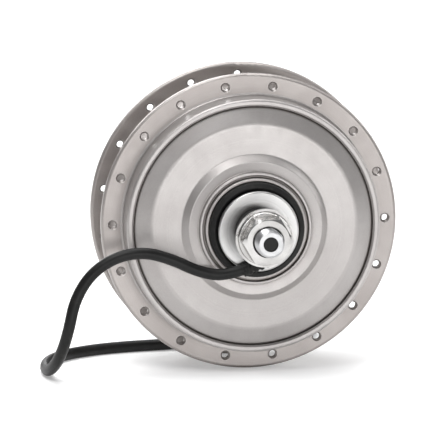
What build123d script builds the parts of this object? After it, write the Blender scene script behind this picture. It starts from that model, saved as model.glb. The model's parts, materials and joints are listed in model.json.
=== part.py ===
"""Geared front hub motor for a bicycle wheel: 36-hole hub shell, planetary stage with a roller
clutch, outrunner motor, solid axle with nuts, and the motor cable with its plug.

Millimetres. The axle lies along Y, +Y towards the brake side (the bicycle's left), +X towards the
front of the bicycle and +Z up. The origin is on the axle, midway between the two dropout faces.
A rider's-right view looks along +Y at the cable side."""

import os
from math import acos, cos, pi, radians, sin, tan

from build123d import *

# ---- driving dimensions -------------------------------------------------------------------------
over_locknuts = 100.0          # between the dropout faces
dropout_thickness = 6.0
axle_length = 150.0
flange_r = 64.0
flange_thickness = 3.5
flange_face_y = 17.5           # outer face of each spoke flange, from the middle
spoke_circle_r = 59.0
spokes_per_flange = 18
spoke_hole_r = 1.45
drum_r = 54.7                  # drum that stands out past the right flange
drum_face_y = -30.2
barrel_r = 56.2                # between the flanges
cover_face_y = 22.4            # outer face of the left cover

thread_r = 6.0                 # M12 ends
journal_r = 7.5                # under the bearings
stator_seat_r = 8.5
half_gap = over_locknuts / 2

module = 0.9
sun_teeth, planet_teeth, ring_teeth = 24, 36, 96
pressure_angle = radians(20)
tooth_thinning = 0.07          # off each tooth's thickness at the pitch circle
planet_count = 3
gear_y = (-16.3, -7.3)         # face width of the planets
centre_distance = module * (sun_teeth + planet_teeth) / 2

stator_y = (1.4, 13.4)
stator_r = 43.0
slot_count = 18
magnet_count = 20
air_gap = 0.7

cable_r = 2.5
floor_z = -flange_r
cable_z = floor_z + cable_r    # centre of a cable that lies on the floor

parts = {}


# ---- helpers ------------------------------------------------------------------------------------
def turned(*corners):
    """A solid of revolution about Y. A corner is (radius, y) or (radius, y, fillet radius)."""
    profile = make_face(Polyline(*[(c[0], c[1]) for c in corners], close=True))
    for corner in corners:
        if len(corner) == 3:
            vertex = profile.vertices().sort_by_distance((corner[0], corner[1], 0))[0]
            profile = fillet(vertex, corner[2])
    return revolve(profile, Axis.Y)


def ring(inner, outer, y0, y1):
    return turned((inner, y0), (outer, y0), (outer, y1), (inner, y1))


def rod(radius, y0, y1):
    return turned((0, y0), (radius, y0), (radius, y1), (0, y1))


def slab(sketch, y0, y1):
    """Extrudes a sketch drawn in X and Z from y0 to y1."""
    return extrude(Plane.XZ.offset(-y1) * sketch, amount=y1 - y0)


def around(shape, count, radius=0.0, start=0.0):
    """Copies of a shape, moved out along X by radius and spread round the axle."""
    step = 360 / count
    return [Rot(0, start + i * step, 0) * Pos(radius, 0, 0) * shape for i in range(count)]


def cut_all(body, cutters):
    return body - Compound(children=list(cutters))


def polar(radius, angle):
    return (radius * cos(angle), radius * sin(angle))


def keep(name, *solids):
    parts[name] = solids[0] if len(solids) == 1 else Compound(children=list(solids))


# ---- gears --------------------------------------------------------------------------------------
def involute(angle):
    return tan(angle) - angle


def gear_outline(teeth, root_r, tip_r, thickening, phase):
    """Outline of an external gear, in X and Z. An internal gear is cut with the same outline."""
    pitch_r = module * teeth / 2
    base_r = pitch_r * cos(pressure_angle)
    at_pitch = pi / (2 * teeth) + thickening / (2 * pitch_r) + involute(pressure_angle)
    flank_start = max(root_r, base_r)

    def half_angle(radius):
        return at_pitch - involute(acos(min(1.0, base_r / radius)))

    flank_radii = (flank_start, (flank_start + tip_r) / 2, tip_r)
    step = 2 * pi / teeth
    edges = []
    for i in range(teeth):
        middle = phase + i * step
        rising = [polar(r, middle - half_angle(r)) for r in flank_radii]
        falling = [polar(r, middle + half_angle(r)) for r in reversed(flank_radii)]
        foot = half_angle(flank_start)
        if root_r < base_r:
            edges.append(Line(polar(root_r, middle - foot), rising[0]))
        edges.append(ThreePointArc(*rising))
        edges.append(ThreePointArc(rising[2], polar(tip_r, middle), falling[0]))
        edges.append(ThreePointArc(*falling))
        if root_r < base_r:
            edges.append(Line(falling[2], polar(root_r, middle + foot)))
        edges.append(ThreePointArc(polar(root_r, middle + foot),
                                   polar(root_r, middle + step / 2),
                                   polar(root_r, middle + step - foot)))
    return make_face(Wire(edges))


def external_gear(teeth, y0, y1, phase=0.0):
    pitch_r = module * teeth / 2
    face = gear_outline(teeth, pitch_r - 1.25 * module, pitch_r + module, -tooth_thinning, phase)
    return slab(face, y0, y1)


def internal_cutter(teeth, y0, y1, phase):
    pitch_r = module * teeth / 2
    face = gear_outline(teeth, pitch_r - module, pitch_r + 1.25 * module, tooth_thinning, phase)
    return slab(face, y0, y1)


def planet_phase(direction):
    """Tooth phase of a planet whose centre lies at that angle, in mesh with a sun of phase 0."""
    sun_share = direction * sun_teeth / (2 * pi)
    planet_share = 0.5 - sun_share
    return direction + pi - planet_share * 2 * pi / planet_teeth


def ring_phase(direction):
    """Phase of the ring's tooth spaces that takes the planet at that angle."""
    share = (direction - planet_phase(direction)) * planet_teeth / (2 * pi)
    return direction - share * 2 * pi / ring_teeth


def planet_direction(i):
    return pi / 2 + i * 2 * pi / planet_count


# ---- bearings -----------------------------------------------------------------------------------
def bearing(name, bore_r, outer_r, y0, y1, ball_r, ball_count):
    """Inner ring, outer ring, balls and the two shields of a deep-groove ball bearing."""
    middle_r, middle_y = (bore_r + outer_r) / 2, (y0 + y1) / 2
    land = 0.62 * ball_r           # how far each ring's shoulder stands from the ball circle
    ball_clearance = 0.06
    shield_inset, shield_thickness = 0.2, 0.5
    inner_land, outer_land = middle_r - land, middle_r + land
    groove = Pos(0, middle_y, 0) * Rot(90, 0, 0) * Torus(middle_r, ball_r + ball_clearance)
    keep(name + "_inner_ring", ring(bore_r, inner_land, y0, y1) - groove)
    keep(name + "_outer_ring", ring(outer_land, outer_r, y0, y1) - groove)
    balls = around(Pos(0, middle_y, 0) * Sphere(ball_r), ball_count, middle_r)
    shield = ring(inner_land + 0.25, outer_land, 0, shield_thickness)
    shields = [Pos(0, y0 + shield_inset, 0) * shield,
               Pos(0, y1 - shield_inset - shield_thickness, 0) * shield]
    return balls, shields


right_bearing_y = (-33.4, -26.4)
left_bearing_y = (13.0, 20.0)
rotor_bearing_y = (-5.4, -0.4)
main_bearing_r = 14.0
rotor_bearing_r = 12.0
main_balls = (1.75, 12)          # radius of a ball, and how many
rotor_balls = (1.25, 14)
right_balls, right_shields = bearing(
    "right_bearing", journal_r, main_bearing_r, *right_bearing_y, *main_balls)
left_balls, left_shields = bearing(
    "left_bearing", journal_r, main_bearing_r, *left_bearing_y, *main_balls)
small_balls, small_shields = bearing(
    "rotor_bearing", journal_r, rotor_bearing_r, *rotor_bearing_y, *rotor_balls)
keep("bearing_balls", *right_balls, *left_balls, *small_balls)
keep("main_bearing_shields", *right_shields, *left_shields)
keep("rotor_bearing_shields", *small_shields)

# ---- hub shell ----------------------------------------------------------------------------------
bore_r = 51.5                  # inside of the shell
ledge_r = 47.7                 # seat of the ring gear
ledge_y = -9.7
cover_r = 51.8                 # thread of the right cover
cover_stop_y = -20.0
shell_end_y = 19.0
nose_y = -36.8                 # tip of the bearing nose
nose_recess_r = 20.4


def spoke_holes(face_y, start):
    """Drills for one flange, with a small countersink on both faces."""
    half = flange_thickness / 2
    middle = face_y - half if face_y > 0 else face_y + half
    sink = 0.7                     # depth of the countersink, and how much wider it is
    past = 0.2                     # how far the cutter stands out of the face
    wide = spoke_hole_r + sink + past
    cone = turned((0, half - sink), (spoke_hole_r, half - sink), (wide, half + past), (0, half + past))
    drill = rod(spoke_hole_r, -half - 1, half + 1) + cone + mirror(cone, Plane.XZ)
    return around(Pos(0, middle, 0) * drill, spokes_per_flange, spoke_circle_r, start)


def hub_shell():
    """Barrel, two spoke flanges and the raised drum, with a ledge inside for the gear ring."""
    face = flange_face_y
    inside = face - flange_thickness
    return turned(
        (bore_r, shell_end_y), (barrel_r, shell_end_y, 0.4), (barrel_r, face, 0.8),
        (flange_r, face, 1.2), (flange_r, inside, 1.2), (barrel_r, inside, 2.0),
        (barrel_r, -inside, 2.0), (flange_r, -inside, 1.2), (flange_r, -face, 1.2),
        (drum_r, -face, 0.9), (drum_r, drum_face_y, 1.1), (cover_r + 0.7, drum_face_y, 0.4),
        (cover_r, -29.3), (cover_r, cover_stop_y), (ledge_r, cover_stop_y), (ledge_r, ledge_y),
        (bore_r, ledge_y),
    )


def right_cover():
    """Domed cover that screws into the drum, with the bearing nose at its middle."""
    return turned(
        (cover_r, -28.2), (cover_r - 0.9, -28.9, 0.5), (44.3, -31.6, 5.0), (31.4, -32.0, 0.8),
        (28.7, -34.8, 0.5), (24.4, -34.2, 0.3), (24.1, -35.9, 0.5), (22.9, -35.9, 0.4),
        (22.7, -34.5, 0.2), (22.0, -34.5, 0.2), (21.8, nose_y, 0.5), (nose_recess_r, nose_y, 0.4),
        (nose_recess_r, -35.2), (12.8, -35.2), (12.8, right_bearing_y[0]),
        (main_bearing_r, right_bearing_y[0]), (main_bearing_r, right_bearing_y[1]),
        (17.6, right_bearing_y[1], 0.6), (18.6, -28.4, 1.0), (43.4, -28.0, 3.0), (48.8, -25.6, 1.5),
        (48.8, cover_stop_y), (cover_r, cover_stop_y),
    )


cover_screw_count, cover_screw_circle_r = 9, 53.4
gear_screw_count, gear_screw_circle_r = 6, 49.3


def screw(length, thread, head, head_height, drive=1.1):
    """A countersunk screw along Y. Its head's face is at 0 and points to +Y."""
    body = turned((0, 0), (head, 0), (head, -0.3), (thread, -0.3 - head_height),
                  (thread, -length + 0.5), (thread - 0.4, -length), (0, -length))
    return body - slab(RegularPolygon(drive, 6), -1.3, 1)


shell = cut_all(hub_shell(), spoke_holes(-flange_face_y, 0.0) + spoke_holes(flange_face_y, 10.0))
shell = cut_all(shell, around(rod(1.2, 12.0, 21.0), cover_screw_count, cover_screw_circle_r))
shell = cut_all(shell, around(rod(1.0, -16.0, -9.0), gear_screw_count, gear_screw_circle_r))
keep("hub_shell", shell)
keep("right_cover", right_cover())

# ---- left cover, its screws, gasket and brake spline ----------------------------------------------
spigot_r = 16.2
spline_y = (22.4, 31.0)
cover = turned(
    (barrel_r - 0.3, shell_end_y + 0.4), (barrel_r - 0.3, cover_face_y - 0.2, 0.5),
    (46.0, cover_face_y, 3.0), (42.5, 21.2, 3.0), (25.0, 21.2, 2.0), (22.6, cover_face_y, 0.8),
    (spigot_r, cover_face_y), (spigot_r, spline_y[1] - 0.4, 0.5), (14.4, spline_y[1] - 0.4, 0.3),
    (14.4, 25.4), (12.6, 25.4), (12.6, left_bearing_y[1]), (main_bearing_r, left_bearing_y[1]),
    (main_bearing_r, 12.9), (16.4, 12.9, 0.6), (16.8, 17.0, 0.5), (48.6, 17.6, 0.5),
    (48.9, 16.4), (bore_r - 0.1, 16.4, 0.4), (bore_r - 0.1, shell_end_y + 0.4),
)
cover_screw = screw(length=9.0, thread=1.18, head=2.0, head_height=0.8, drive=0.75)
sink = turned((0, 1), (2.05, 1), (2.05, -0.32), (1.25, -1.15), (1.25, -6), (0, -6))
cover_screw_y = cover_face_y - 0.25
cover_screw_place = Pos(0, cover_screw_y, 0)
cover_sinks = around(cover_screw_place * sink, cover_screw_count, cover_screw_circle_r)
keep("left_cover", cut_all(cover, cover_sinks))
keep("cover_screws", *around(cover_screw_place * cover_screw, cover_screw_count, cover_screw_circle_r))
gasket = ring(bore_r, barrel_r - 0.5, shell_end_y, shell_end_y + 0.4)
keep("cover_gasket", cut_all(gasket, around(rod(1.3, 18, 20), cover_screw_count, cover_screw_circle_r)))


def serrated_ring(inner, root, tip, teeth, y0, y1):
    step = 2 * pi / teeth
    corners = []
    for i in range(teeth):
        corners.append(polar(root, i * step))
        corners.append(polar(tip, i * step + 0.35 * step))
        corners.append(polar(tip, i * step + 0.65 * step))
    face = make_face(Polyline(*corners, close=True)) - Circle(inner)
    return slab(face, y0, y1)


spline = serrated_ring(spigot_r, 18.3, 19.6, 36, *spline_y)
lead_in = turned((18.4, spline_y[1] + 0.1), (21, spline_y[1] + 0.1), (21, spline_y[1] - 1.6))
keep("brake_spline", spline - lead_in)

# ---- ring gear ------------------------------------------------------------------------------------
ring_y = (gear_y[0] - 0.4, gear_y[1] + 0.6)
ring_body = turned((30, ring_y[0]), (47.5, ring_y[0], 0.3), (47.5, ledge_y), (51.2, ledge_y),
                   (51.2, ring_y[1], 0.3), (30, ring_y[1]))
ring_teeth_cutter = internal_cutter(
    ring_teeth, ring_y[0] - 1, ring_y[1] + 1, ring_phase(planet_direction(0)))
gear_sink = turned((0, 1), (2.2, 1), (2.2, -0.32), (1.05, -1.45), (1.05, -5), (0, -5))
gear_screw_place = Pos(0, ring_y[1], 0)
gear_sinks = around(gear_screw_place * gear_sink, gear_screw_count, gear_screw_circle_r)
keep("ring_gear", cut_all(ring_body - ring_teeth_cutter, gear_sinks))
gear_screw = screw(length=7.5, thread=0.98, head=2.15, head_height=1.1, drive=0.9)
keep("ring_gear_screws", *around(gear_screw_place * gear_screw, gear_screw_count, gear_screw_circle_r))

# ---- clutch, carrier and planets ------------------------------------------------------------------
clutch_y = (-26.2, -19.2)
race_r = 11.0
roller_count, roller_r, roller_circle_r = 8, 1.6, 12.68
key_half, key_depth = 2.0, 2.0
key_y = (clutch_y[0] + 0.2, clutch_y[1] - 0.2)


def key_slot(y0, y1):
    """A keyway over the top of a journal, shared by the clutch race and its key."""
    middle = Pos(0, (y0 + y1) / 2, journal_r)
    return middle * Box(2 * key_half, y1 - y0, 2 * key_depth)


keep("clutch_race", ring(journal_r, race_r, *clutch_y) - key_slot(*key_y))
roller = rod(roller_r, clutch_y[0] + 0.3, clutch_y[1] - 0.3)
keep("clutch_rollers", *around(roller, roller_count, roller_circle_r))

plate_y = (-19.0, -16.6)
pin_r, bush_r = 3.0, 4.4
carrier_bore_r, clutch_wall_r, plate_r = race_r + 0.35, 16.6, 35.0
spring_turn = 9.0                # degrees from each roller to its spring
first_planet, first_window = -90, -30
window_r, window_circle_r = 6.5, 25.0
carrier = turned((carrier_bore_r, clutch_y[0]), (clutch_wall_r, clutch_y[0], 0.8),
                 (clutch_wall_r, plate_y[0]), (plate_r, plate_y[0], 0.5), (plate_r, plate_y[1], 0.5),
                 (carrier_bore_r, plate_y[1]))
pocket = rod(roller_r + 0.12, clutch_y[0] - 1, clutch_y[1])
spring_room = Pos(0, sum(clutch_y) / 2 - 0.5, 0) * Box(1.7, clutch_y[1] - clutch_y[0] + 1, 1.4)
pin_hole, window = rod(pin_r, -20, -16), rod(window_r, -20, -16)
carrier = cut_all(carrier, around(pocket, roller_count, roller_circle_r))
carrier = cut_all(carrier, around(spring_room, roller_count, 13.1, spring_turn))
carrier = cut_all(carrier, around(pin_hole, planet_count, centre_distance, first_planet))
carrier = cut_all(carrier, around(window, planet_count, window_circle_r, first_window))
keep("planet_carrier", carrier)


def leaf_spring():
    """A folded strip that pushes one clutch roller up its ramp."""
    strip = Polyline((12.7, -0.45), (13.7, -0.1), (12.7, 0.25), (13.5, 0.5))
    wire = offset(strip, 0.09, kind=Kind.INTERSECTION)
    return slab(make_face(wire.wires()[0]), clutch_y[0] + 0.8, clutch_y[1] - 0.8)


keep("clutch_springs", *around(leaf_spring(), roller_count, 0.0, spring_turn))
pin_end_y = gear_y[1] + 1.1
clip_y = (pin_end_y - 0.9, pin_end_y - 0.4)
clip_seat_r, clip_r = pin_r - 0.6, 4.3
pin = turned((0, plate_y[0]), (pin_r, plate_y[0]), (pin_r, clip_y[0]), (clip_seat_r, clip_y[0]),
             (clip_seat_r, clip_y[1]), (pin_r, clip_y[1]), (pin_r - 0.2, pin_end_y), (0, pin_end_y))
keep("planet_pins", *around(pin, planet_count, centre_distance, first_planet))
clip = ring(clip_seat_r, clip_r, *clip_y) - Pos(3, sum(clip_y) / 2, 0) * Box(6, 2, 3.2)
keep("planet_clips", *around(clip, planet_count, centre_distance, first_planet))


def planet(i):
    """Planet gear with a web thinner than its rim, on its bush."""
    angle = planet_direction(i)
    place = Pos(centre_distance * cos(angle), 0, centre_distance * sin(angle))
    gear = external_gear(planet_teeth, *gear_y, planet_phase(angle)) - rod(bush_r, -20, 0)
    web_depth = 1.6
    web = (6.6, 12.8)
    gear -= ring(*web, gear_y[0] - 1, gear_y[0] + web_depth)
    gear -= ring(*web, gear_y[1] - web_depth, gear_y[1] + 1)
    gear = cut_all(gear, around(rod(1.9, -20, 0), 6, sum(web) / 2))
    keep(f"planet_gear_{i + 1}", place * gear)
    keep(f"planet_bush_{i + 1}", place * ring(pin_r + 0.02, bush_r, gear_y[0] - 0.1, gear_y[1] + 0.1))


for index in range(planet_count):
    planet(index)

# ---- rotor ----------------------------------------------------------------------------------------
sun_y = (gear_y[0] + 0.2, gear_y[1] + 0.3)
sun = external_gear(sun_teeth, *sun_y)
sun += turned((journal_r, sun_y[1] - 0.1), (9.6, sun_y[1] - 0.1), (14.4, sun_y[1]), (14.4, -5.6),
              (journal_r, -5.6))
sun -= rod(journal_r + 0.04, -30, 0)
keep("sun_gear", sun)
magnet_inner_r = stator_r + air_gap
magnet_outer_r = magnet_inner_r + 2.4
yoke_r = magnet_outer_r + 3.0
plate_holes = around(rod(5.5, -8, 0), 8, 31.0)
rotor_plate = turned((rotor_bearing_r, -5.6), (magnet_outer_r, -5.6), (magnet_outer_r, -3.0, 0.4),
                     (15.8, -3.0, 0.8), (15.4, -0.7, 0.4), (rotor_bearing_r, -0.7))
keep("rotor_plate", cut_all(rotor_plate, plate_holes))
keep("rotor_yoke", turned((magnet_outer_r, -5.6), (yoke_r, -5.6, 0.5), (yoke_r, 14.6, 0.4),
                          (magnet_outer_r, 14.6)))
magnet_half = radians(360 / magnet_count * 0.46)
inner_arc = [polar(magnet_inner_r, turn * magnet_half) for turn in (-1, 0, 1)]
outer_arc = [polar(magnet_outer_r, turn * magnet_half) for turn in (1, 0, -1)]
magnet_face = make_face([
    ThreePointArc(*inner_arc), Line(inner_arc[2], outer_arc[0]),
    ThreePointArc(*outer_arc), Line(outer_arc[2], inner_arc[0]),
])
keep("rotor_magnets", *around(slab(magnet_face, *stator_y), magnet_count))

# ---- stator ---------------------------------------------------------------------------------------
core_bore_r, core_yoke_r, tooth_half = 22.0, 28.2, 2.5
tip_start_r = 41.0
tooth_length = tip_start_r - core_yoke_r + 2
tooth_middle_r = (core_yoke_r + tip_start_r) / 2 - 0.5
tooth = slab(Pos(tooth_middle_r, 0) * Rectangle(tooth_length, 2 * tooth_half), *stator_y)
tip_ring = ring(tip_start_r, stator_r, *stator_y)
slot_mouth = slab(Pos(tip_start_r + 1, 0) * Rectangle(6, 2.4), stator_y[0] - 1, stator_y[1] + 1)
tip_ring = cut_all(tip_ring, around(slot_mouth, slot_count, 0.0, 180 / slot_count))
stator = ring(core_bore_r, core_yoke_r, *stator_y) + tip_ring
for blade in around(tooth, slot_count):
    stator += blade
keep("stator_core", stator)

coil_thickness, coil_overhang = 2.15, 2.5
coil_half = tooth_half + coil_thickness
coil_y = (stator_y[0] - coil_overhang, stator_y[1] + coil_overhang)
coil_x = (core_yoke_r + 0.5, tip_start_r - 0.4)
coil_block = Box(coil_x[1] - coil_x[0], coil_y[1] - coil_y[0], 2 * coil_half)
coil_block = Pos(sum(coil_x) / 2, sum(coil_y) / 2, 0) * coil_block
coil_block = fillet(coil_block.edges().filter_by(Axis.X), 1.9)
coil_hole = Pos(sum(coil_x) / 2, sum(stator_y) / 2, 0) * Box(30, stator_y[1] - stator_y[0], 2 * tooth_half)
keep("stator_windings", *around(coil_block - coil_hole, slot_count))
stator_hub = ring(stator_seat_r, 12.5, stator_y[0], 12.4) + ring(20.2, core_bore_r, *stator_y)
hub_arm = slab(Pos(16.4, 0) * Rectangle(8.4, 6), 2.4, 12.0)
for arm in around(hub_arm, 6):
    stator_hub += arm
stator_key_y = (3.0, 11.0)
stator_key = Pos(0, sum(stator_key_y) / 2, stator_seat_r) * Box(4, stator_key_y[1] - stator_key_y[0], 3.6)
wire_window_y, wire_window_r = 7.0, 2.6
wire_passage = Pos(0, wire_window_y, -10) * Cylinder(wire_window_r, 12)
keep("stator_hub", stator_hub - rod(stator_seat_r, 0, 20) - stator_key - wire_passage)
keep("axle_keys", stator_key, key_slot(*key_y))
board_y = (16.1, 16.8)
board_notch = slab(Pos(30, 0) * Rectangle(20, 9), 15, 18)
board = ring(18.0, 38.0, *board_y) - board_notch
keep("hall_board", cut_all(board, around(rod(1.2, 15, 18), 6, 23.5, 30)))
sensor_circle_r, sensor_angles = 35.5, (150, 170, 190)
chip = Pos(sensor_circle_r, board_y[0] - 0.75, 0) * Box(4.0, 1.5, 2.4)
keep("hall_sensors", *[Rot(0, angle, 0) * chip for angle in sensor_angles])

# ---- axle -----------------------------------------------------------------------------------------
half_axle = axle_length / 2
flat_half, flat_end = 5.0, half_gap + 10.5
outlet_y = -46.8
wire_bore_r = 3.2
exit_angle = 202               # degrees, in X and Z; the cable leaves to the rear, under the axle
exit_offset = 12.0             # from the axle's centre to the cable's exit line
axle = turned(
    (0, -half_axle), (thread_r - 1.0, -half_axle), (thread_r, -half_axle + 1.0), (thread_r, -half_gap),
    (journal_r, -half_gap), (journal_r, -0.4), (10.2, -0.4), (10.2, 1.4), (stator_seat_r, 1.4),
    (stator_seat_r, left_bearing_y[0]), (journal_r, left_bearing_y[0]), (journal_r, half_gap),
    (thread_r, half_gap), (thread_r, half_axle - 1.0), (thread_r - 1.0, half_axle), (0, half_axle),
)
flat_cutter = Pos(flat_half + 5, (half_gap + flat_end) / 2, 0) * Box(10, flat_end - half_gap, 30)
for cutter in (flat_cutter, mirror(flat_cutter, Plane.YZ)):
    axle -= cutter
    axle -= mirror(cutter, Plane.XZ)
axle -= rod(wire_bore_r, -half_axle - 1, 15.0)
exit_way = Vector(cos(radians(exit_angle)), 0, sin(radians(exit_angle)))
exit_foot = Vector(-exit_way.Z * exit_offset, outlet_y, exit_way.X * exit_offset)
outlet_drill = Rot(0, -exit_angle - 90, 0) * Pos(6, outlet_y, 0) * Rot(0, 90, 0) * Cylinder(2.2, 12)
axle -= outlet_drill
axle -= key_slot(*key_y) + stator_key
axle -= Pos(0, wire_window_y, -8) * Cylinder(wire_window_r, 12)
keep("axle", axle)
keep("axle_end_plug", rod(wire_bore_r, -half_axle + 0.6, -half_axle + 7))

# ---- nuts and washers on the axle ends --------------------------------------------------------------
washer_y = half_gap + dropout_thickness
tab_washer_thickness, washer_thickness = 2.0, 1.6
tab_washer_y = washer_y + tab_washer_thickness
nut_y = tab_washer_y + washer_thickness


def both_sides(solid):
    """The solid as drawn for the left end, and its mirror image at the right end."""
    return [mirror(solid, Plane.XZ), solid]


def flatted(radius_gap=0.15):
    """Outline of the axle's flatted end, for the tab washer's hole."""
    return Circle(thread_r + radius_gap) & Rectangle(2 * (flat_half + radius_gap), 40)


def tab_washer():
    """Washer with a hole that fits the flats and a tab that turns into the dropout's slot."""
    disc = slab(Circle(11.5) - flatted(), washer_y, tab_washer_y)
    tab = Pos(0, washer_y - 1.4, -10.4) * Box(6.0, 3.2, 2.2)
    return disc + tab


def axle_nut():
    """Hexagon nut, 19 mm across flats, with a chamfered outer face and a collar."""
    across_flats = 19.0
    top = nut_y + 9.4
    collar_top = nut_y + 1.3
    body = slab(RegularPolygon(across_flats / 2, 6, major_radius=False), nut_y, top)
    crown = turned((0, nut_y), (12, nut_y), (12, top - 1.6), (9.2, top), (0, top))
    collar = turned((0, nut_y), (11.6, nut_y, 0.3), (11.2, collar_top, 0.4), (0, collar_top))
    lead_in = turned((0, top + 0.1), (thread_r + 0.9, top + 0.1), (0, top - 6.8))
    return (body & crown) + collar - rod(thread_r, nut_y - 1, top + 1) - lead_in


keep("tab_washers", *both_sides(tab_washer()))
keep("washers", *both_sides(ring(thread_r + 0.2, 12.5, tab_washer_y, nut_y)))
keep("axle_nuts", *both_sides(axle_nut()))

# ---- seals, dust caps and spacers ---------------------------------------------------------------------
right_cap_y = (-43.6, -38.6)     # outer and inner face of the right dust cap
collar_r = 10.4                  # right spacer, and the cable outlet's collar
keep("right_seal", turned((10.7, -35.2), (nose_recess_r, -35.2), (nose_recess_r, -39.4, 0.8),
                          (17.8, -40.9, 0.6), (17.8, -37.0), (10.7, -36.6)))
keep("right_dust_cap", turned((journal_r, right_cap_y[1]), (16.2, right_cap_y[1]), (16.2, -41.4),
                              (17.3, -41.4, 0.3), (17.3, right_cap_y[0], 0.8),
                              (journal_r, right_cap_y[0])))
keep("right_spacer", ring(journal_r, collar_r, right_cap_y[1], right_bearing_y[0]))
keep("left_spacer", turned((journal_r, left_bearing_y[1]), (9.6, left_bearing_y[1]), (9.6, half_gap - 3.0),
                           (10.8, half_gap - 3.0, 0.4), (10.8, half_gap, 0.4), (journal_r, half_gap)))
keep("left_seal", turned((9.9, 25.4), (14.4, 25.4), (14.4, 28.4), (10.6, 28.4), (9.9, 27.6)))
keep("left_dust_cap", turned((9.6, 30.9), (13.9, 30.9, 0.3), (13.9, 33.0, 0.8), (9.6, 33.0)))

# ---- cable outlet and cable ---------------------------------------------------------------------------
boot_r, boot_end = 3.2, 13.0         # the outlet's boot, and its end along the exit line from the foot


def along_exit(radius_near, radius_far, start, end):
    """A cone or cylinder about the cable's exit line."""
    near = Plane(origin=exit_foot + exit_way * start, z_dir=exit_way) * Circle(radius_near)
    far = Plane(origin=exit_foot + exit_way * end, z_dir=exit_way) * Circle(radius_far)
    return loft([near, far])


boot_taper_start = 7.0
outlet_body = ring(journal_r, collar_r, right_cap_y[0], -half_gap)
outlet_body += along_exit(boot_r, boot_r, -3.6, boot_taper_start)
outlet_body += along_exit(boot_r, boot_r - 0.3, boot_taper_start, boot_end)
outlet_body -= rod(journal_r, -60, -30) + outlet_drill
keep("cable_outlet", outlet_body - along_exit(cable_r, cable_r, 0, boot_end + 1))

coil_centre = Vector(10, 58, 0)
turn_r = (30.0, 25.0)                # middle of the outer and the inner turn
tie_thickness = 0.8
coiled_z = floor_z + tie_thickness + cable_r
plug_r = 8.3
plug_z = floor_z + plug_r

lead = [
    exit_foot + exit_way * 1.5,
    exit_foot + exit_way * 19.3,
    Vector(-26.0, -46.8, -16.2),
    Vector(-37.8, -47.0, -10.2),
    Vector(-50.0, -47.2, -6.6),
    Vector(-62.5, -47.2, -8.6),
    Vector(-73.0, -47.0, -15.8),
    Vector(-79.6, -46.8, -27.0),
    Vector(-82.0, -47.4, -38.6),
    Vector(-84.4, -43.2, -49.4),
    Vector(-86.7, -35.0, -57.4),
    Vector(-88.3, -24.3, cable_z),
    Vector(-87.6, -12.0, cable_z),
    Vector(-84.0, 0.5, cable_z),
    Vector(-75.5, 12.0, cable_z),
    Vector(-62.5, 20.5, cable_z),
    Vector(-47.0, 25.6, cable_z),
    Vector(-29.5, 27.9, cable_z),
    Vector(-9.0, 28.2, coiled_z),
    Vector(coil_centre.X, coil_centre.Y - turn_r[0], coiled_z),
]
tail_start = coil_centre + Vector((turn_r[0] + turn_r[1]) / 2, 0, plug_z)
plug_gap = 20.0                      # from the coil to the plug's boot
boot_length = 12.0
tail = [tail_start, tail_start + Vector(0, plug_gap + boot_length - 3, 0)]


def corner_radii(points):
    """The largest arc that each corner's two runs allow, with this share of the shorter run."""
    share = 0.45
    radii = []
    for a, b, c in zip(points, points[1:], points[2:]):
        before, after = b - a, c - b
        turn = radians(before.get_angle(after))
        radii.append(share * min(before.length, after.length) / tan(turn / 2))
    return radii


def tube(points, name):
    """Straight runs joined by tangent arcs, swept with the cable's section."""
    path = FilletPolyline(*points, radius=corner_radii(points)) if len(points) > 2 else Line(*points)
    section = Plane(origin=points[0], z_dir=points[1] - points[0]) * Circle(cable_r)
    length = sum(edge.length for edge in path.edges())
    print(name, "length", round(length, 1))
    keep(name, sweep(section, path))


def flat_turned(*corners):
    """A solid of revolution about the coil's upright axis, from corners of (radius, z)."""
    profile = Plane.XZ * make_face(Polyline(*corners, close=True))
    return Pos(coil_centre.X, coil_centre.Y, 0) * revolve(profile, Axis.Z)


def coil_outline(margin, low, high):
    inner, outer = turn_r[1] - cable_r - margin, turn_r[0] + cable_r + margin
    return flat_turned((inner, low), (outer, low), (outer, high), (inner, high))


tube(lead, "motor_cable")
tube(tail, "cable_tail")
coil_low, coil_high = coiled_z - cable_r, coiled_z + cable_r
middle_r = sum(turn_r) / 2
quarter_r = (middle_r - cable_r, middle_r + cable_r)
quarter_top = plug_z + cable_r
last_quarter = flat_turned((quarter_r[0], coil_high), (quarter_r[1], coil_high),
                           (quarter_r[1], quarter_top), (quarter_r[0], quarter_top))
quarter_box = Pos(coil_centre.X + 25, coil_centre.Y - 25, plug_z) * Box(50, 50, 20)
keep("cable_coil", coil_outline(0, coil_low, coil_high) + (last_quarter & quarter_box))
tie_box = Pos(coil_centre.X - middle_r, coil_centre.Y, plug_z) * Box(20, 6, 30)
tie = coil_outline(tie_thickness, floor_z, coil_high + tie_thickness) - coil_outline(0, coil_low, coil_high)
keep("cable_tie", tie & tie_box)

# ---- plug ---------------------------------------------------------------------------------------------
plug_place = Pos(tail_start.X, tail_start.Y + plug_gap, plug_z)
body_start = boot_length
socket_start, socket_end = body_start + 9.0, body_start + 21.0
plug_boot = turned((0, 0), (3.2, 0, 0.3), (5.6, body_start), (0, body_start))
plug_boot -= rod(cable_r, -1, body_start - 3)
keep("plug_boot", plug_place * plug_boot)
plug_body = turned((0, body_start), (7.2, body_start, 0.8), (7.2, socket_start - 2), (7.6, socket_start - 2),
                   (7.6, socket_start), (5.8, socket_start), (5.8, socket_end, 0.3), (5.0, socket_end, 0.3),
                   (5.0, socket_start + 2), (0, socket_start + 2))
keep("plug_body", plug_place * plug_body)
grip = slab(Circle(plug_r), socket_start + 0.3, socket_end - 2) - rod(6.0, 0, 50)
flute = slab(Pos(plug_r + 0.7, 0) * Circle(1.3), socket_start, socket_end)
keep("plug_ring", plug_place * cut_all(grip, around(flute, 12)))
contact = rod(0.5, socket_start + 2, socket_end - 2)
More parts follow.
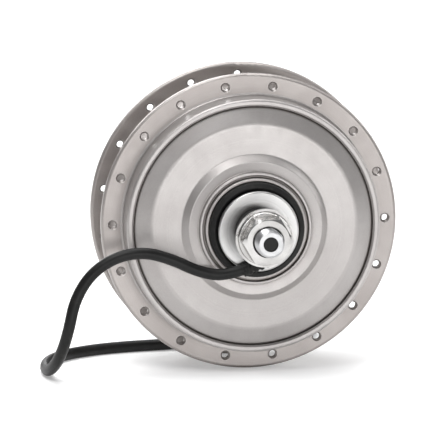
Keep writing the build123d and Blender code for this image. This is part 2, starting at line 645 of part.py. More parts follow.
keep("plug_pins", *[plug_place * pin for pin in [contact] + around(contact, 6, 3.0)])

# ---- phase wires inside ---------------------------------------------------------------------------------
wire_r, wire_pitch, wire_drop = 0.75, 1.7, 18.9


def phase_wire(turn):
    """One wire from the axle's bore, out through the window and along to the circuit board."""
    x = turn * wire_pitch
    corners = [Vector(x, -20.0, -1.0), Vector(x, wire_window_y, -1.0),
               Vector(x, wire_window_y, -wire_drop), Vector(x, board_y[0], -wire_drop)]
    section = Plane(origin=corners[0], z_dir=(0, 1, 0)) * Circle(wire_r)
    return sweep(section, FilletPolyline(*corners, radius=1.7))


keep("phase_wires", *[phase_wire(i) for i in (-1, 0, 1)])

os.makedirs("parts", exist_ok=True)
for name, shape in parts.items():
    export_step(shape, f"parts/{name}.step")
print(len(parts), "nodes")
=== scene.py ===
"""Looks for the geared front hub motor: studio, materials, the free cable with its coil, and the
finely shaped pieces that stand for plain CAD ones. Metres, in the CAD frame."""

import json
import math

import bmesh
import bpy
from mathutils import Matrix, Vector


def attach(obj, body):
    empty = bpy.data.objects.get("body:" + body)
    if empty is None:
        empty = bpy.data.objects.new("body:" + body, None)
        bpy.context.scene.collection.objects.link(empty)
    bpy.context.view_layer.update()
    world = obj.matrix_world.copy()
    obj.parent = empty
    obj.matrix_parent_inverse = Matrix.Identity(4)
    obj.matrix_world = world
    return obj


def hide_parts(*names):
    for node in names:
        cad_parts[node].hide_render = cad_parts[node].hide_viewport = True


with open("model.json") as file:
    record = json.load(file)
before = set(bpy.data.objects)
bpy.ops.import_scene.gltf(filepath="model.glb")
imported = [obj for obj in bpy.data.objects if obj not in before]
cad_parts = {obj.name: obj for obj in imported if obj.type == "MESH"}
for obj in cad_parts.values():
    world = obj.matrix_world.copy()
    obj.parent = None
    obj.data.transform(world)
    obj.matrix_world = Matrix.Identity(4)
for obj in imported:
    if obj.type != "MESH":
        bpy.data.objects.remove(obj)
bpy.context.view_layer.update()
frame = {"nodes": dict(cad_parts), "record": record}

# ---- sizes: those of the CAD part, with a few that only the finer pieces here have ------------------
MM = 0.001
floor_z = -64.0 * MM
half_axle = 75.0 * MM
half_gap = 50.0 * MM                     # to each dropout's inner face
thread_r, thread_pitch, end_chamfer = 6.0 * MM, 1.25 * MM, 1.0 * MM
journal_r, shoulder_r, stator_seat_r = 7.5 * MM, 10.2 * MM, 8.5 * MM
flat_half, flat_end = 5.0 * MM, 60.5 * MM
wire_bore_r, wire_bore_end = 3.2 * MM, 15.0 * MM

cable_d = 5.0 * MM
outlet_y = -46.8 * MM
exit_angle = math.radians(202)           # in X and Z, to the rear and down
exit_offset = 12.0 * MM                  # from the axle's centre to the cable's exit line
collar_r, collar_y = 10.4 * MM, (-50.0 * MM, -43.6 * MM)
boot_near_r, boot_far_r = 3.2 * MM, 2.9 * MM
boot_start, boot_end = -3.4 * MM, 13.0 * MM
cable_clear_r = 2.35 * MM                # inside of a bend relief, a little within the cable

coil_centre = Vector((10.0, 58.0, 0.0)) * MM
turn_outer, turn_inner = 30.0 * MM, 25.0 * MM
turn_middle = (turn_outer + turn_inner) / 2
tie_thickness = 0.8 * MM
coiled_z = floor_z + tie_thickness + cable_d / 2
plug_z = floor_z + 8.3 * MM
plug_gap = 20.0 * MM                     # from the coil to the plug's bend relief
plug_boot_length, plug_boot_r = 12.0 * MM, (3.2 * MM, 5.6 * MM)


# ---- nodes of a material ------------------------------------------------------------------------
class Shader:
    """A Principled material with small helpers for the procedural nodes that feed it."""

    def __init__(self, name, **constants):
        self.material = bpy.data.materials.new(name)
        self.material.use_nodes = True
        self.tree = self.material.node_tree
        self.surface = self.tree.nodes["Principled BSDF"]
        self.coords = self.add("ShaderNodeTexCoord").outputs["Object"]
        for socket, value in constants.items():
            self.surface.inputs[socket.replace("_", " ")].default_value = value

    def add(self, kind, **settings):
        node = self.tree.nodes.new(kind)
        for key, value in settings.items():
            setattr(node, key, value)
        return node

    def feed(self, socket, source):
        if isinstance(source, bpy.types.NodeSocket):
            self.tree.links.new(source, socket)
        else:
            socket.default_value = source

    def math(self, operation, a, b=0.0):
        node = self.add("ShaderNodeMath", operation=operation)
        self.feed(node.inputs[0], a)
        self.feed(node.inputs[1], b)
        return node.outputs[0]

    def noise(self, scale, detail=4.0, roughness=0.55, vector=None):
        node = self.add("ShaderNodeTexNoise")
        node.inputs["Scale"].default_value = scale
        node.inputs["Detail"].default_value = detail
        node.inputs["Roughness"].default_value = roughness
        self.feed(node.inputs["Vector"], vector or self.coords)
        return node.outputs["Fac"]

    def ramp(self, value, *stops):
        """Stops are (position, colour or grey)."""
        node = self.add("ShaderNodeValToRGB")
        elements = node.color_ramp.elements
        while len(elements) < len(stops):
            elements.new(0.5)
        for element, (position, shade) in zip(elements, stops):
            element.position = position
            element.color = (*shade, 1) if isinstance(shade, tuple) else (shade, shade, shade, 1)
        self.feed(node.inputs[0], value)
        return node.outputs["Color"]

    def mix(self, factor, a, b, blend="MIX"):
        node = self.add("ShaderNodeMix", data_type="RGBA", blend_type=blend)
        self.feed(node.inputs[0], factor)
        for socket, source in ((node.inputs[6], a), (node.inputs[7], b)):
            self.feed(socket, (*source, 1) if isinstance(source, tuple) else source)
        return node.outputs[2]

    def radius(self):
        """Distance from the axle and place along it, for marks that run round it."""
        parts = self.add("ShaderNodeSeparateXYZ")
        self.feed(parts.inputs[0], self.coords)
        x2 = self.math("POWER", self.math("ABSOLUTE", parts.outputs["X"]), 2.0)
        z2 = self.math("POWER", self.math("ABSOLUTE", parts.outputs["Z"]), 2.0)
        return self.math("SQRT", self.math("ADD", x2, z2)), parts.outputs["Y"]

    def turned_lines(self, pitch):
        """Fine grooves of a lathe tool: noise that changes only with radius and depth."""
        radius, depth = self.radius()
        place = self.add("ShaderNodeCombineXYZ")
        self.feed(place.inputs[0], radius)
        self.feed(place.inputs[1], depth)
        return self.noise(1 / pitch, 3.0, 0.65, place.outputs[0])

    def crevice_shade(self, distance):
        """1 in the open, towards 0 in corners and grooves; the materials use it to paint shade there."""
        node = self.add("ShaderNodeAmbientOcclusion", samples=6)
        node.inputs["Distance"].default_value = distance
        return node.outputs["AO"]

    def edges(self, reach):
        """1 along sharp edges, 0 on flat and gently curved faces."""
        rounded = self.add("ShaderNodeBevel", samples=4)
        rounded.inputs["Radius"].default_value = reach
        agree = self.add("ShaderNodeVectorMath", operation="DOT_PRODUCT")
        self.feed(agree.inputs[0], rounded.outputs["Normal"])
        self.feed(agree.inputs[1], self.add("ShaderNodeNewGeometry").outputs["Normal"])
        turn = self.math("SUBTRACT", 1.0, agree.outputs["Value"])
        ragged = self.math("MULTIPLY", turn, self.noise(900, 3.0, 0.7))
        return self.ramp(ragged, (0.01, 0.0), (0.07, 1.0))

    def bump(self, *layers):
        """Layers are (height, depth in metres)."""
        normal = None
        for height, depth in layers:
            node = self.add("ShaderNodeBump")
            node.inputs["Distance"].default_value = depth
            self.feed(node.inputs["Height"], height)
            if normal:
                self.feed(node.inputs["Normal"], normal)
            normal = node.outputs["Normal"]
        self.feed(self.surface.inputs["Normal"], normal)

    def colour(self, source):
        self.feed(self.surface.inputs["Base Color"], source)

    def rough(self, value, low, high):
        """Roughness from a 0 to 1 texture, between low and high."""
        node = self.add("ShaderNodeMapRange")
        node.inputs["To Min"].default_value = low
        node.inputs["To Max"].default_value = high
        self.feed(node.inputs["Value"], value)
        self.feed(self.surface.inputs["Roughness"], node.outputs[0])


def coated_aluminium():
    """Silver lacquer on cast and turned aluminium: fine flake, faint rings, and painted shade darkening
    the corners.
    """
    s = Shader("coated_aluminium", Metallic=0.72, Coat_Weight=0.25, Coat_Roughness=0.22)
    patches = s.ramp(s.noise(38), (0.3, (0.385, 0.362, 0.352)), (0.7, (0.46, 0.437, 0.427)))
    flake = s.ramp(s.noise(5200, 1.0), (0.35, 0.86), (0.65, 1.0))
    rings = s.turned_lines(0.28 * MM)
    base = s.mix(1.0, patches, flake, "MULTIPLY")
    base = s.mix(0.35, base, s.ramp(rings, (0.35, 0.84), (0.65, 1.0)), "MULTIPLY")
    # Painted shade: beyond about 56 mm from the axle (ring wall and flange) the shell's colour is
    # multiplied darker.
    beyond_cover = s.math("MULTIPLY", s.radius()[0], 1 / (70 * MM))
    painted_flange_shade = s.ramp(beyond_cover, (0.793, 0.0), (0.800, 1.0))
    base = s.mix(painted_flange_shade, base, s.mix(1.0, base, (0.87, 0.845, 0.83), "MULTIPLY"))
    # Painted shade: the colour goes to near-black in corners and grooves found by the occlusion mask.
    free_of_painted_shade = s.ramp(s.crevice_shade(2.2 * MM), (0.35, 0.0), (0.85, 1.0))
    worn = s.mix(s.edges(0.35 * MM), base, (0.66, 0.65, 0.64))
    s.colour(s.mix(free_of_painted_shade, (0.13, 0.115, 0.105), worn))
    s.rough(s.noise(260), 0.34, 0.48)
    s.bump((rings, 0.012 * MM), (s.noise(1500, 2.0), 0.02 * MM))
    return s.material


def turned_aluminium():
    """Bright lathe-turned aluminium."""
    s = Shader("turned_aluminium", Metallic=1.0)
    rings = s.turned_lines(0.14 * MM)
    base = s.mix(1.0, s.ramp(s.noise(60), (0.3, (0.42, 0.415, 0.41)), (0.7, (0.53, 0.525, 0.52))),
                 s.ramp(rings, (0.3, 0.78), (0.7, 1.0)), "MULTIPLY")
    # Painted shade: the colour goes to near-black in corners and grooves found by the occlusion mask.
    free_of_painted_shade = s.ramp(s.crevice_shade(1.0 * MM), (0.3, 0.0), (0.8, 1.0))
    s.colour(s.mix(free_of_painted_shade, (0.10, 0.095, 0.09), base))
    s.rough(rings, 0.24, 0.42)
    s.bump((rings, 0.02 * MM))
    return s.material


def steel(name, dark, light, low, high, rings=0.2):
    """Machined or plated steel: lathe marks, smudges, and painted shade where parts meet."""
    s = Shader(name, Metallic=1.0)
    # Painted shade: near-black colour for corners and grooves, where the occlusion mask falls.
    painted_crevice_shade = (0.06, 0.055, 0.05)
    lines = s.turned_lines(rings * MM)
    smudge = s.noise(140, 5.0)
    base = s.ramp(smudge, (0.3, dark), (0.7, light))
    base = s.mix(0.5, base, s.ramp(lines, (0.3, 0.8), (0.7, 1.0)), "MULTIPLY")
    free_of_painted_shade = s.ramp(s.crevice_shade(0.8 * MM), (0.25, 0.0), (0.75, 1.0))
    s.colour(s.mix(free_of_painted_shade, painted_crevice_shade, base))
    s.rough(smudge, low, high)
    s.bump((lines, 0.008 * MM), (s.noise(900, 2.0), 0.006 * MM))
    return s.material


def bright_plating():
    """Nickel plate with finger smears and tiny scratches."""
    s = Shader("bright_plating", Metallic=1.0)
    smear = s.noise(120, 5.0, 0.6)
    stretch = s.add("ShaderNodeMapping")
    stretch.inputs["Scale"].default_value = (1.0, 9.0, 1.0)
    s.feed(stretch.inputs["Vector"], s.coords)
    scratch = s.noise(700, 2.0, 0.7, stretch.outputs[0])
    base = s.ramp(smear, (0.3, (0.44, 0.43, 0.42)), (0.7, (0.58, 0.57, 0.56)))
    # Painted shade: the colour goes to near-black in corners and grooves found by the occlusion mask.
    free_of_painted_shade = s.ramp(s.crevice_shade(0.9 * MM), (0.25, 0.0), (0.75, 1.0))
    s.colour(s.mix(free_of_painted_shade, (0.07, 0.06, 0.05), base))
    s.rough(smear, 0.09, 0.26)
    s.bump((scratch, 0.006 * MM), (s.noise(420, 2.0), 0.008 * MM))
    return s.material


def greased_gear_steel():
    """Dark hardened steel under streaks of grease."""
    s = Shader("greased_gear_steel", Metallic=0.9, Coat_Weight=0.5, Coat_Roughness=0.12)
    streak = s.noise(160, 5.0, 0.6)
    s.colour(s.ramp(streak, (0.35, (0.13, 0.13, 0.135)), (0.62, (0.30, 0.295, 0.29)),
                    (0.8, (0.33, 0.28, 0.18))))
    s.rough(streak, 0.18, 0.42)
    s.bump((streak, 0.03 * MM), (s.turned_lines(0.2 * MM), 0.008 * MM))
    return s.material


def gear_nylon():
    """Ivory nylon with amber grease in patches and a faint moulded grain."""
    s = Shader("gear_nylon", Subsurface_Weight=0.15, Subsurface_Scale=0.002)
    s.surface.inputs["Subsurface Radius"].default_value = (1.0, 0.8, 0.5)
    grease = s.noise(150, 5.0, 0.6)
    s.colour(s.ramp(grease, (0.42, (0.74, 0.70, 0.58)), (0.56, (0.70, 0.63, 0.46)),
                    (0.7, (0.52, 0.38, 0.17))))
    s.rough(grease, 0.5, 0.22)
    s.bump((s.noise(2400, 2.0), 0.02 * MM), (grease, 0.05 * MM))
    return s.material


def bronze():
    """Sintered bronze with open pores."""
    s = Shader("sintered_bronze", Metallic=1.0)
    pores = s.noise(3000, 2.0)
    s.colour(s.ramp(pores, (0.3, (0.22, 0.13, 0.06)), (0.5, (0.55, 0.37, 0.19)),
                    (0.8, (0.66, 0.47, 0.27))))
    s.rough(pores, 0.5, 0.3)
    s.bump((pores, 0.02 * MM))
    return s.material


def rubber(name, dark, light, low, high, grain=1800, dust=0.09):
    """Black rubber or cable jacket: matt grain and a trace of road dust."""
    s = Shader(name, Specular_IOR_Level=0.2)
    grain_noise = s.noise(grain, 2.0)
    base = s.ramp(s.noise(90, 5.0), (0.3, (dark,) * 3), (0.75, (light, light * 0.98, light * 0.95)))
    dusty = s.ramp(s.noise(240, 6.0, 0.7), (0.55, 0.0), (0.85, 1.0))
    s.colour(s.mix(s.math("MULTIPLY", dusty, dust), base, (0.30, 0.27, 0.23)))
    s.rough(grain_noise, low, high)
    s.bump((grain_noise, 0.025 * MM), (s.noise(420, 2.0), 0.03 * MM))
    return s.material


def lamination():
    """Stacked electrical steel: dark lines half a millimetre apart along the axle."""
    s = Shader("lamination", Metallic=0.85)
    parts = s.add("ShaderNodeSeparateXYZ")
    s.feed(parts.inputs[0], s.coords)
    sheet_thickness = 0.5 * MM
    wave = s.math("SINE", s.math("MULTIPLY", parts.outputs["Y"], 2 * math.pi / sheet_thickness))
    sheet = s.ramp(s.math("ADD", s.math("MULTIPLY", wave, 0.5), 0.5), (0.05, 0.25), (0.3, 1.0))
    base = s.ramp(s.noise(220), (0.3, (0.20, 0.21, 0.24)), (0.7, (0.34, 0.35, 0.38)))
    s.colour(s.mix(1.0, base, sheet, "MULTIPLY"))
    s.rough(s.noise(600), 0.35, 0.55)
    s.bump((sheet, 0.05 * MM))
    return s.material


def copper_winding():
    """Enamelled copper, glossy and slightly uneven in tone."""
    s = Shader("copper_winding", Metallic=0.8, Coat_Weight=0.8, Coat_Roughness=0.1)
    s.colour(s.ramp(s.noise(300, 4.0), (0.3, (0.36, 0.12, 0.035)), (0.7, (0.62, 0.25, 0.09))))
    s.rough(s.noise(700), 0.22, 0.4)
    s.bump((s.noise(1500, 2.0), 0.01 * MM))
    return s.material


def circuit_board():
    """Green solder mask over woven glass."""
    s = Shader("circuit_board", Coat_Weight=0.4, Coat_Roughness=0.2)
    thread_width = 0.7 * MM
    weave = s.add("ShaderNodeTexChecker")
    weave.inputs["Scale"].default_value = 1 / thread_width
    s.feed(weave.inputs["Vector"], s.coords)
    mask = s.ramp(s.noise(500), (0.3, (0.008, 0.10, 0.04)), (0.7, (0.02, 0.19, 0.08)))
    s.colour(s.mix(0.15, mask, weave.outputs["Color"], "MULTIPLY"))
    s.rough(s.noise(300), 0.3, 0.5)
    s.bump((weave.outputs["Fac"], 0.01 * MM))
    return s.material


def gold_contact():
    """Thin gold plate, a little uneven where the plug has rubbed."""
    s = Shader("gold_contact", Metallic=1.0)
    worn = s.noise(900, 3.0)
    s.colour(s.ramp(worn, (0.3, (0.70, 0.48, 0.18)), (0.7, (0.88, 0.67, 0.32))))
    s.rough(worn, 0.12, 0.3)
    s.bump((worn, 0.004 * MM))
    return s.material


def insulation():
    """Silicone insulation; each wire has its own tone by its place across the window."""
    s = Shader("insulation")
    blue, yellow, green = (0.02, 0.13, 0.42), (0.62, 0.40, 0.03), (0.03, 0.30, 0.09)
    parts = s.add("ShaderNodeSeparateXYZ")
    s.feed(parts.inputs[0], s.coords)
    across = s.math("ADD", s.math("MULTIPLY", parts.outputs["X"], 1 / (5.2 * MM)), 0.5)
    tone = s.ramp(across, (0.34, blue), (0.36, yellow), (0.64, yellow), (0.66, green))
    s.colour(s.mix(0.3, tone, s.ramp(s.noise(500), (0.3, 0.6), (0.7, 1.0)), "MULTIPLY"))
    s.rough(s.noise(800), 0.35, 0.5)
    s.bump((s.noise(1500), 0.01 * MM))
    return s.material


# ---- which node gets which material --------------------------------------------------------------
FINISH = {
    "cast_shell": coated_aluminium(),
    "turned_aluminium": turned_aluminium(),
    "nut_plate": bright_plating(),
    "axle_steel": steel("machined_steel", (0.36, 0.36, 0.365), (0.52, 0.52, 0.525), 0.22, 0.40),
    "bearing_steel": steel("polished_steel", (0.62, 0.625, 0.63), (0.78, 0.785, 0.79), 0.06, 0.16, 0.1),
    "screw_steel": steel("screw_steel", (0.30, 0.30, 0.305), (0.46, 0.46, 0.465), 0.22, 0.42, 0.15),
    "yoke_steel": steel("zinc_plate", (0.44, 0.45, 0.46), (0.60, 0.605, 0.61), 0.26, 0.45),
    "magnet": steel("magnet_plate", (0.42, 0.42, 0.40), (0.60, 0.595, 0.57), 0.12, 0.28, 0.4),
    "gear_steel": greased_gear_steel(),
    "gear_nylon": gear_nylon(),
    "bush_bronze": bronze(),
    "rubber": rubber("seal_rubber", 0.006, 0.016, 0.42, 0.62),
    "cable_jacket": rubber("cable_jacket", 0.005, 0.012, 0.32, 0.48, 2600, 0.05),
    "plug_plastic": rubber("plug_plastic", 0.012, 0.028, 0.30, 0.46, 2200, 0.05),
    "lamination": lamination(),
    "winding": copper_winding(),
    "board": circuit_board(),
    "contact": gold_contact(),
    "wire_insulation": insulation(),
}
for entry in frame["record"]["subparts"]:
    mesh = frame["nodes"][entry["node"]].data
    mesh.materials.clear()
    mesh.materials.append(FINISH[entry["material_slot"]])


# ---- new pieces ------------------------------------------------------------------------------------
def piece(name, mesh, body, slot, *stands_for):
    """Links a mesh or curve as a piece that rides on a body and takes the slot's finish."""
    made = bpy.data.objects.new(name, mesh)
    bpy.context.scene.collection.objects.link(made)
    mesh.materials.append(FINISH[slot])
    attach(made, body)
    if stands_for:
        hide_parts(*stands_for)
    return made


def smooth(mesh, angle=35):
    """Smooth shading with sharp edges where faces meet steeply."""
    bm = bmesh.new()
    bm.from_mesh(mesh)
    for face in bm.faces:
        face.smooth = True
    for edge in bm.edges:
        if len(edge.link_faces) == 2:
            edge.smooth = edge.calc_face_angle() < math.radians(angle)
    bm.to_mesh(mesh)
    bm.free()


def bridge(bm, rows):
    """Closes a ring of equal rows of corners with four-sided faces."""
    for a, b in zip(rows, rows[1:] + rows[:1]):
        for i in range(len(a)):
            j = (i + 1) % len(a)
            bm.faces.new((a[i], b[i], b[j], a[j]))
    bmesh.ops.recalc_face_normals(bm, faces=bm.faces)


def lathe(name, profile, around, shape=None):
    """A closed mesh turned about Y from a loop of (radius, y); shape may move each point."""
    bm = bmesh.new()
    rings = []
    for i in range(around):
        turn = 2 * math.pi * i / around
        ring = []
        for radius, y in profile:
            x, z = radius * math.cos(turn), radius * math.sin(turn)
            if shape:
                x, y, z = shape(radius, y, turn)
            ring.append(bm.verts.new((x, y, z)))
        rings.append(ring)
    bridge(bm, rings)
    mesh = bpy.data.meshes.new(name)
    bm.to_mesh(mesh)
    bm.free()
    smooth(mesh)
    return mesh


# ---- the cable ---------------------------------------------------------------------------------------
exit_way = Vector((math.cos(exit_angle), 0, math.sin(exit_angle)))
exit_foot = Vector((-exit_way.z * exit_offset, outlet_y, exit_way.x * exit_offset))
lead = [
    exit_foot + exit_way * 1.5 * MM,     # inside the boot, straight along the exit line
    exit_foot + exit_way * 19.3 * MM,
    Vector((-26.0, -46.8, -16.2)) * MM,
    Vector((-37.8, -47.0, -10.2)) * MM,
    Vector((-50.0, -47.2, -6.6)) * MM,
    Vector((-62.5, -47.2, -8.6)) * MM,
    Vector((-73.0, -47.0, -15.8)) * MM,
    Vector((-79.6, -46.8, -27.0)) * MM,
    Vector((-82.0, -47.4, -38.6)) * MM,
    Vector((-84.4, -43.2, -49.4)) * MM,
    Vector((-86.7, -35.0, -57.4)) * MM,
    Vector((-88.3, -24.3, -61.5)) * MM,  # on the floor from here on
    Vector((-87.6, -12.0, -61.5)) * MM,
    Vector((-84.0, 0.5, -61.5)) * MM,
    Vector((-75.5, 12.0, -61.5)) * MM,
    Vector((-62.5, 20.5, -61.5)) * MM,
    Vector((-47.0, 25.6, -61.5)) * MM,
    Vector((-29.5, 27.9, -61.5)) * MM,
    Vector((-9.0, 28.2, -60.7)) * MM,    # on the tie's strap
]


def ease(value, start, end):
    """0 before start, 1 after end, smooth between."""
    share = min(1.0, max(0.0, (value - start) / (end - start)))
    return share * share * (3 - 2 * share)


def coil_points():
    """Two turns side by side on the tie, then a last quarter turn on top of them. The spline runs
    inside its control points, so they stand out by the factor widen."""
    per_turn, turns = 18, 2.25
    widen = 1 / (0.75 + 0.25 * math.cos(2 * math.pi / per_turn))
    move_in, climb, move_out = (285, 356), (636, 680), (680, 735)    # degrees from the coil's start
    points = []
    for i in range(int(turns * per_turn) + 1):
        degrees = 360 * i / per_turn
        radius = turn_outer - (turn_outer - turn_inner) * ease(degrees, *move_in)
        radius += (turn_middle - turn_inner) * ease(degrees, *move_out)
        z = coiled_z + (plug_z - coiled_z) * ease(degrees, *climb)
        turn = math.radians(degrees - 90)
        points.append(coil_centre + Vector((math.cos(turn), math.sin(turn), 0)) * radius * widen
                      + Vector((0, 0, z)))
    return points


tail_start = coil_centre + Vector((turn_middle, 0, plug_z))
tail = [tail_start + Vector((0, y * MM, 0)) for y in (10, 20, 29)]


def cable_curve(points):
    """One round spline through the whole cable, so that no joint shows."""
    curve = bpy.data.curves.new("motor_cable_flex", "CURVE")
    curve.dimensions = "3D"
    curve.bevel_depth = cable_d / 2
    curve.bevel_resolution = 6
    curve.resolution_u = 10
    curve.use_fill_caps = True
    spline = curve.splines.new("NURBS")
    spline.points.add(len(points) - 1)
    for point, place in zip(spline.points, points):
        point.co = (*place, 1)
    spline.order_u = 3
    spline.use_endpoint_u = True
    return curve


cable = piece("motor_cable_flex", cable_curve(lead + coil_points() + tail), "axle_unit", "cable_jacket",
              "motor_cable", "cable_coil", "cable_tail")


# ---- threaded axle -------------------------------------------------------------------------------------
def axle_profile():
    """Radius against y of the axle, with close rows where the thread runs."""
    end_r, needle_r = thread_r - end_chamfer, 0.02 * MM
    rows = [(wire_bore_r, wire_bore_end), (wire_bore_r, -half_axle), (end_r, -half_axle)]
    y = -half_axle
    while y < -half_gap:
        y += thread_pitch / 10
        rows.append((thread_r, min(y, -half_gap)))
    rows += [(journal_r, -half_gap), (journal_r, -0.4 * MM), (shoulder_r, -0.4 * MM),
             (shoulder_r, 1.4 * MM), (stator_seat_r, 1.4 * MM), (stator_seat_r, 13.0 * MM),
             (journal_r, 13.0 * MM), (journal_r, half_gap)]
    y = half_gap
    while y < half_axle:
        rows.append((thread_r, y))
        y += thread_pitch / 8
    rows += [(end_r, half_axle), (needle_r, half_axle), (needle_r, wire_bore_end)]
    return rows


def threaded(radius, y, turn):
    """Cuts a helical thread into the axle's ends, and the two flats beside the dropouts."""
    if abs(radius - thread_r) < 1e-9:
        phase = (y / thread_pitch - turn / (2 * math.pi)) % 1.0
        valley = 1 - abs(2 * phase - 1)
        depth = 0.72 * MM
        radius -= depth * min(1.0, max(0.0, 1.25 * valley - 0.12))      # flat crests and roots
        chamfer_r = half_axle - abs(y) + thread_r - end_chamfer
        radius = min(radius, chamfer_r)
    x, z = radius * math.cos(turn), radius * math.sin(turn)
    if half_gap < abs(y) < flat_end and radius > flat_half:
        x = max(-flat_half, min(flat_half, x))
    return x, y, z


piece("threaded_axle", lathe("threaded_axle", axle_profile(), 96, threaded), "axle_unit", "axle_steel",
      "axle")


# ---- cable outlet, plug boot and tie --------------------------------------------------------------------
def grooved_sleeve(start, end, near_r, far_r, bore_r, grooves):
    """Profile of a bend relief: a sleeve whose outside is cut by rounded grooves."""
    steps = 10 * grooves
    groove_depth = 0.55 * MM
    outside = []
    for i in range(steps + 1):
        share = i / steps
        radius = near_r + (far_r - near_r) * share
        if 0.04 < share < 0.96:
            wave = math.sin(2 * math.pi * share * grooves - math.pi / 2)
            radius -= groove_depth * max(0.0, wave) ** 0.5
        outside.append((radius, start + (end - start) * share))
    return [(bore_r, start)] + outside + [(bore_r, end)]


def join(name, *meshes):
    """One mesh from several, each with its placing matrix."""
    bm = bmesh.new()
    for mesh, place in meshes:
        mesh.transform(place)
        bm.from_mesh(mesh)
    joined = bpy.data.meshes.new(name)
    bm.to_mesh(joined)
    bm.free()
    return joined


collar_bore_r, collar_edge = journal_r + 0.02 * MM, 0.3 * MM
collar = lathe("collar", [(collar_bore_r, collar_y[0]), (collar_r - collar_edge, collar_y[0]),
                          (collar_r, collar_y[0] + collar_edge), (collar_r, collar_y[1] - collar_edge),
                          (collar_r - collar_edge, collar_y[1]), (collar_bore_r, collar_y[1])], 96)
relief_profile = grooved_sleeve(boot_start, boot_end, boot_near_r, boot_far_r, cable_clear_r, 6)
relief = lathe("relief", relief_profile, 48)
out_along_exit = Matrix.Translation(exit_foot) @ exit_way.to_track_quat("Y", "Z").to_matrix().to_4x4()
outlet_mesh = join("cable_outlet_boot", (collar, Matrix.Identity(4)), (relief, out_along_exit))
piece("cable_outlet_boot", outlet_mesh, "axle_unit", "rubber", "cable_outlet")

plug_relief_profile = grooved_sleeve(0.0, plug_boot_length, *plug_boot_r, cable_clear_r, 5)
plug_relief = lathe("plug_bend_relief", plug_relief_profile, 64)
plug_relief.transform(Matrix.Translation((tail_start.x, tail_start.y + plug_gap, plug_z)))
relief_piece = piece("plug_bend_relief", plug_relief, "axle_unit", "plug_plastic", "plug_boot")


def strap_outline(half_x, half_z, corner):
    """Rounded rectangle as (x, z, outward x, outward z)."""
    steps = 8
    outline = []
    for quarter, (sign_x, sign_z) in enumerate(((1, 1), (-1, 1), (-1, -1), (1, -1))):
        for step in range(steps + 1):
            turn = math.radians(quarter * 90 + step * 90 / steps)
            out_x, out_z = math.cos(turn), math.sin(turn)
            outline.append(((half_x - corner) * sign_x + corner * out_x,
                            (half_z - corner) * sign_z + corner * out_z, out_x, out_z))
    return outline


def tie_mesh():
    """A nylon strap round both turns, with its head and cut tail."""
    half_x, half_z = (turn_outer - turn_inner + cable_d) / 2, cable_d / 2
    strap, width = 0.75 * MM, 4.6 * MM
    skin = 0.02 * MM                     # how far the strap's inside stands off the cable
    section = [(skin, -1), (strap * 0.8, -1), (strap, -0.86), (strap, 0.86), (strap * 0.8, 1), (skin, 1)]
    bm = bmesh.new()
    rows = []
    for x, z, out_x, out_z in strap_outline(half_x, half_z, cable_d / 2):
        row = [bm.verts.new((x + out_x * push, y * width / 2, z + out_z * push)) for push, y in section]
        rows.append(row)
    bridge(bm, rows)
    top = half_z / MM
    head_and_tail = (((4.6, 5.4, 2.6), (-0.6, 0.0, top + 1.2)), ((2.4, 4.4, 0.8), (2.8, 0.0, top + 1.5)))
    for size, place in head_and_tail:
        box = bmesh.ops.create_cube(bm, size=1.0)["verts"]
        bmesh.ops.scale(bm, verts=box, vec=Vector(size) * MM)
        bmesh.ops.translate(bm, verts=box, vec=Vector(place) * MM)
        edges = list({edge for vert in box for edge in vert.link_edges})
        bmesh.ops.bevel(bm, geom=edges, offset=0.3 * MM, segments=3, profile=0.5, affect="EDGES")
    mesh = bpy.data.meshes.new("coil_tie")
    bm.to_mesh(mesh)
    bm.free()
    mesh.transform(Matrix.Translation((coil_centre.x - turn_middle, coil_centre.y, coiled_z)))
    smooth(mesh)
    return mesh


tie_piece = piece("coil_tie", tie_mesh(), "axle_unit", "plug_plastic", "cable_tie")

# ---- studio --------------------------------------------------------------------------------------------
aim = Vector((-12.0, 0.0, 0.0)) * MM


def studio_paper():
    """A nearly even white paper that glows a little, so that it stays pale far from the lamps."""
    s = Shader("studio_paper", Roughness=0.9, Emission_Strength=0.3)
    s.colour(s.mix(0.05, (0.80, 0.80, 0.80), s.ramp(s.noise(6), (0.3, 0.8), (0.7, 1.0)), "MULTIPLY"))
    return s.material


floor_mesh = bpy.data.meshes.new("studio_floor")
side = 2.6
corners = [(-side, -side, floor_z), (side, -side, floor_z), (side, side, floor_z), (-side, side, floor_z)]
floor_mesh.from_pydata(corners, [], [(0, 1, 2, 3)])
floor_mesh.materials.append(studio_paper())
studio_floor = bpy.data.objects.new("studio_floor", floor_mesh)
bpy.context.scene.collection.objects.link(studio_floor)


def softbox(name, place, size, power):
    """A soft rectangular lamp that points at the hub and isn't seen itself."""
    data = bpy.data.lights.new(name, "AREA")
    data.shape = "RECTANGLE"
    data.size, data.size_y = size
    data.energy = power
    lamp = bpy.data.objects.new(name, data)
    lamp.location = place
    lamp.rotation_euler = (aim - Vector(place)).to_track_quat("-Z", "Y").to_euler()
    lamp.visible_camera = False
    bpy.context.scene.collection.objects.link(lamp)


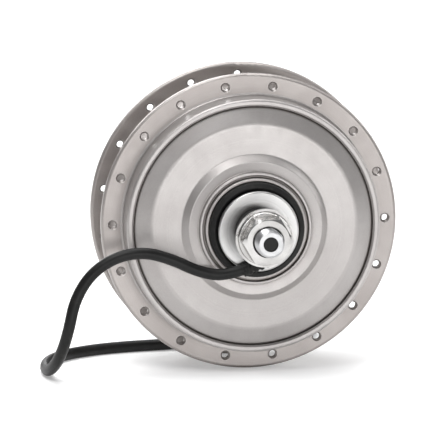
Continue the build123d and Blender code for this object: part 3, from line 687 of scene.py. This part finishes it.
softbox("front", (0.42, -3.4, 0.06), (2.0, 0.5), 35.0)
softbox("key", (-0.35, -0.55, 0.95), (0.5, 0.5), 7.0)
softbox("rim", (0.95, 0.15, 0.5), (0.3, 0.9), 5.0)
softbox("top", (0.0, 0.25, 1.1), (1.0, 0.7), 9.0)
softbox("back", (-0.3, 1.1, 0.55), (0.9, 0.5), 8.0)

world = bpy.data.worlds.new("studio_air")
world.use_nodes = True
bpy.context.scene.world = world
air = world.node_tree
sky = air.nodes["Background"]
direction = air.nodes.new("ShaderNodeTexCoord")
split = air.nodes.new("ShaderNodeSeparateXYZ")
shade = air.nodes.new("ShaderNodeValToRGB")
height = air.nodes.new("ShaderNodeMapRange")
height.inputs["From Min"].default_value = -1.0
low_air, high_air = shade.color_ramp.elements
low_air.position, low_air.color = 0.45, (0.40, 0.39, 0.385, 1)
high_air.position, high_air.color = 0.80, (0.85, 0.86, 0.88, 1)
air.links.new(direction.outputs["Generated"], split.inputs[0])
air.links.new(split.outputs["Z"], height.inputs["Value"])
air.links.new(height.outputs[0], shade.inputs[0])
air.links.new(shade.outputs["Color"], sky.inputs["Color"])
sky.inputs["Strength"].default_value = 0.36
pale = air.nodes.new("ShaderNodeBackground")
pale.inputs["Color"].default_value = (1.0, 1.0, 1.0, 1)
choose = air.nodes.new("ShaderNodeMixShader")
air.links.new(air.nodes.new("ShaderNodeLightPath").outputs["Is Camera Ray"], choose.inputs[0])
air.links.new(sky.outputs[0], choose.inputs[1])
air.links.new(pale.outputs[0], choose.inputs[2])
air.links.new(choose.outputs[0], air.nodes["World Output"].inputs[0])

# ---- camera --------------------------------------------------------------------------------------------
azimuth, elevation, distance = math.radians(-9), math.radians(10), 3.2
view_width = 0.185
camera_data = bpy.data.cameras.new("camera")
camera_data.lens = camera_data.sensor_width * distance / view_width
camera_data.clip_start, camera_data.clip_end = 0.05, 100
camera = bpy.data.objects.new("camera", camera_data)
back = Vector((math.sin(azimuth) * math.cos(elevation), -math.cos(azimuth) * math.cos(elevation),
               math.sin(elevation)))
camera.location = aim + back * distance
camera.rotation_mode = "QUATERNION"
camera.rotation_quaternion = (-back).to_track_quat("-Z", "Y")
bpy.context.scene.collection.objects.link(camera)
bpy.context.scene.camera = camera
bpy.context.scene.view_settings.view_transform = "Standard"
